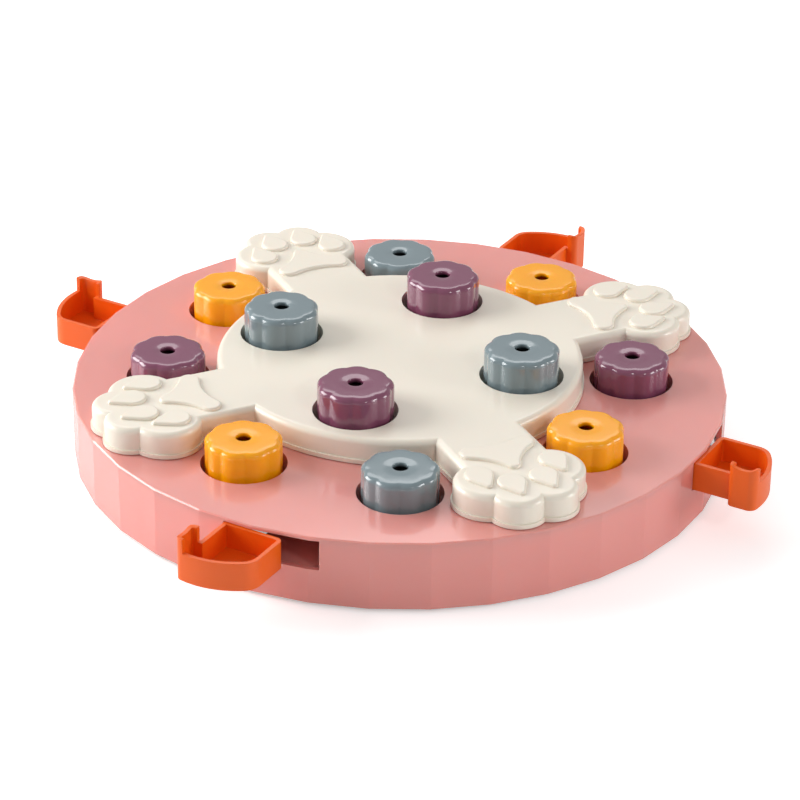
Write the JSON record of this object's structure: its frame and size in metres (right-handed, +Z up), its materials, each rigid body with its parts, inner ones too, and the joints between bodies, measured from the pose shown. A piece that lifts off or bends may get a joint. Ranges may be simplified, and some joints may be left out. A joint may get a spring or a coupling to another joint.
{
  "type": "dog puzzle feeder",
  "caption": "Round faceted dog puzzle feeder with a paw-shaped disc, lift-out hollow caps over treat wells and swing-out treat trays.",
  "frame": {"origin": "middle of the base on the floor it stands on", "axes": "+Z up; +X along one paw, and the shape repeats every quarter turn about +Z"},
  "size_m": [0.28, 0.28, 0.0565],
  "materials": {
    "pink_shell": "glossy",
    "cream_disc": "satin",
    "yellow_cap": "glossy",
    "purple_cap": "glossy",
    "slate_cap": "glossy",
    "orange_tray": "glossy",
    "foot_rubber": "matte",
    "steel": "satin"
  },
  "bodies": {
    "base": {"base_deck": "pink_shell", "base_wall": "pink_shell", "well_cup_1": "pink_shell", "well_cup_2": "pink_shell", "well_cup_3": "pink_shell", "well_cup_4": "pink_shell", "well_cup_5": "pink_shell", "well_cup_6": "pink_shell", "well_cup_7": "pink_shell", "well_cup_8": "pink_shell", "pocket_guard_1": "pink_shell", "pocket_guard_2": "pink_shell", "pocket_guard_3": "pink_shell", "pocket_guard_4": "pink_shell", "rubber_foot_1": "foot_rubber", "rubber_foot_2": "foot_rubber", "rubber_foot_3": "foot_rubber", "rubber_foot_4": "foot_rubber", "hinge_screw_1": "steel", "hinge_screw_2": "steel", "hinge_screw_3": "steel", "hinge_screw_4": "steel"},
    "disc": {"paw_disc": "cream_disc", "disc_cup_1": "cream_disc", "disc_cup_2": "cream_disc", "disc_cup_3": "cream_disc", "disc_cup_4": "cream_disc", "paw_1": "cream_disc", "paw_2": "cream_disc", "paw_3": "cream_disc", "paw_4": "cream_disc", "hub_washer": "cream_disc", "hub_screw": "steel"},
    "outer_cap_1_body": {"outer_cap_1": "slate_cap"},
    "outer_cap_2_body": {"outer_cap_2": "yellow_cap"},
    "outer_cap_3_body": {"outer_cap_3": "purple_cap"},
    "outer_cap_4_body": {"outer_cap_4": "yellow_cap"},
    "outer_cap_5_body": {"outer_cap_5": "slate_cap"},
    "outer_cap_6_body": {"outer_cap_6": "yellow_cap"},
    "outer_cap_7_body": {"outer_cap_7": "purple_cap"},
    "outer_cap_8_body": {"outer_cap_8": "yellow_cap"},
    "inner_cap_1_body": {"inner_cap_1": "purple_cap"},
    "inner_cap_2_body": {"inner_cap_2": "slate_cap"},
    "inner_cap_3_body": {"inner_cap_3": "purple_cap"},
    "inner_cap_4_body": {"inner_cap_4": "slate_cap"},
    "tray_1_body": {"tray_1": "orange_tray"},
    "tray_2_body": {"tray_2": "orange_tray"},
    "tray_3_body": {"tray_3": "orange_tray"},
    "tray_4_body": {"tray_4": "orange_tray"}
  },
  "joints": [
    {"name": "disc_turn", "type": "hinge", "parent": "base", "child": "disc", "pos_m": [0, 0, 0.032], "axis": [0, 0, 1], "range_deg": [-2, 2]},
    {"name": "outer_cap_1_lift", "type": "slide", "parent": "base", "child": "outer_cap_1_body", "axis": [0, 0, 1], "range_m": [0, 0.035]},
    {"name": "outer_cap_2_lift", "type": "slide", "parent": "base", "child": "outer_cap_2_body", "axis": [0, 0, 1], "range_m": [0, 0.035]},
    {"name": "outer_cap_3_lift", "type": "slide", "parent": "base", "child": "outer_cap_3_body", "axis": [0, 0, 1], "range_m": [0, 0.035]},
    {"name": "outer_cap_4_lift", "type": "slide", "parent": "base", "child": "outer_cap_4_body", "axis": [0, 0, 1], "range_m": [0, 0.035]},
    {"name": "outer_cap_5_lift", "type": "slide", "parent": "base", "child": "outer_cap_5_body", "axis": [0, 0, 1], "range_m": [0, 0.035]},
    {"name": "outer_cap_6_lift", "type": "slide", "parent": "base", "child": "outer_cap_6_body", "axis": [0, 0, 1], "range_m": [0, 0.035]},
    {"name": "outer_cap_7_lift", "type": "slide", "parent": "base", "child": "outer_cap_7_body", "axis": [0, 0, 1], "range_m": [0, 0.035]},
    {"name": "outer_cap_8_lift", "type": "slide", "parent": "base", "child": "outer_cap_8_body", "axis": [0, 0, 1], "range_m": [0, 0.035]},
    {"name": "inner_cap_1_lift", "type": "slide", "parent": "disc", "child": "inner_cap_1_body", "axis": [0, 0, 1], "range_m": [0, 0.035]},
    {"name": "inner_cap_2_lift", "type": "slide", "parent": "disc", "child": "inner_cap_2_body", "axis": [0, 0, 1], "range_m": [0, 0.035]},
    {"name": "inner_cap_3_lift", "type": "slide", "parent": "disc", "child": "inner_cap_3_body", "axis": [0, 0, 1], "range_m": [0, 0.035]},
    {"name": "inner_cap_4_lift", "type": "slide", "parent": "disc", "child": "inner_cap_4_body", "axis": [0, 0, 1], "range_m": [0, 0.035]},
    {"name": "tray_1_swing", "type": "hinge", "parent": "base", "child": "tray_1_body", "pos_m": [0.08065, -0.10821, 0.01785], "axis": [0, 0, 1], "range_deg": [0, 94]},
    {"name": "tray_2_swing", "type": "hinge", "parent": "base", "child": "tray_2_body", "pos_m": [0.10821, 0.08065, 0.01785], "axis": [0, 0, 1], "range_deg": [0, 94]},
    {"name": "tray_3_swing", "type": "hinge", "parent": "base", "child": "tray_3_body", "pos_m": [-0.08065, 0.10821, 0.01785], "axis": [0, 0, 1], "range_deg": [0, 94]},
    {"name": "tray_4_swing", "type": "hinge", "parent": "base", "child": "tray_4_body", "pos_m": [-0.10821, -0.08065, 0.01785], "axis": [0, 0, 1], "range_deg": [0, 94]}
  ]
}
